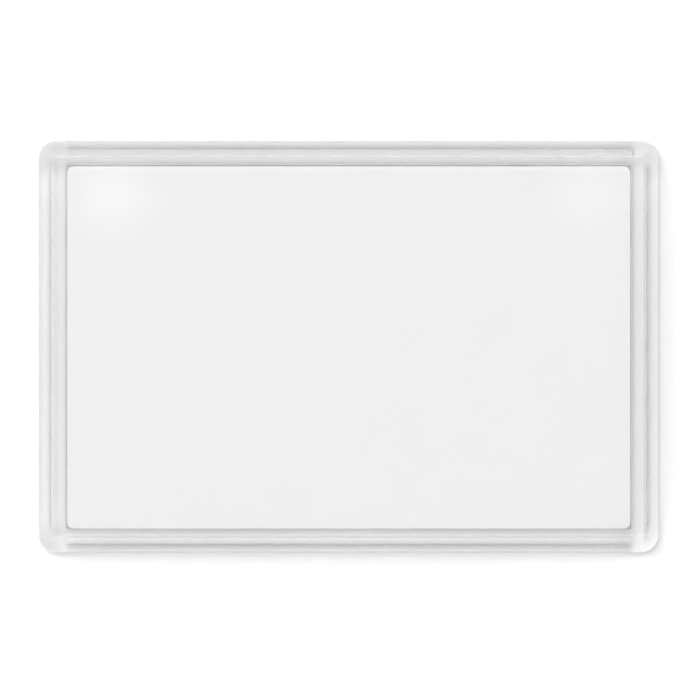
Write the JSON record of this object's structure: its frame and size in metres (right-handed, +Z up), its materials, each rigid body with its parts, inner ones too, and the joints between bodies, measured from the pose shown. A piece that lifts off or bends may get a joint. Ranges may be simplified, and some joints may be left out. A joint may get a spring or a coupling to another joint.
{
  "type": "magnetic photo frame",
  "caption": "Clear moulded frame with a bevelled lens cover over a white card, closed by a push-in back plate that carries a flexible magnet for a steel door.",
  "frame": {"origin": "centre of the magnet's rear face, which lies on the steel door", "axes": "+X along the frame's length, to the right as seen from the front; +Z up its height; -Y towards the viewer, so the front face looks along -Y and the magnet face along +Y"},
  "size_m": [0.0772, 0.007, 0.0512],
  "materials": {
    "clear_plastic": "clear, polished mould finish",
    "insert_card": "smooth matt white card",
    "magnet_rubber": "matt calendered rubber",
    "film_adhesive": "translucent double-sided film"
  },
  "bodies": {
    "back": {"back_plate": "clear_plastic", "adhesive_film": "film_adhesive", "magnet_sheet": "magnet_rubber"},
    "cover": {"front_cover": "clear_plastic"},
    "insert": {"photo_insert": "insert_card"}
  },
  "joints": [
    {"name": "cover_release", "type": "slide", "parent": "back", "child": "cover", "axis": [0, -1, 0], "range_m": [0, 0.02]},
    {"name": "insert_release", "type": "slide", "parent": "back", "child": "insert", "axis": [0, -1, 0], "range_m": [0, 0.01]}
  ],
  "couplings": [
    {"joint": "insert_release", "follows": "cover_release", "ratio": 0.5}
  ]
}
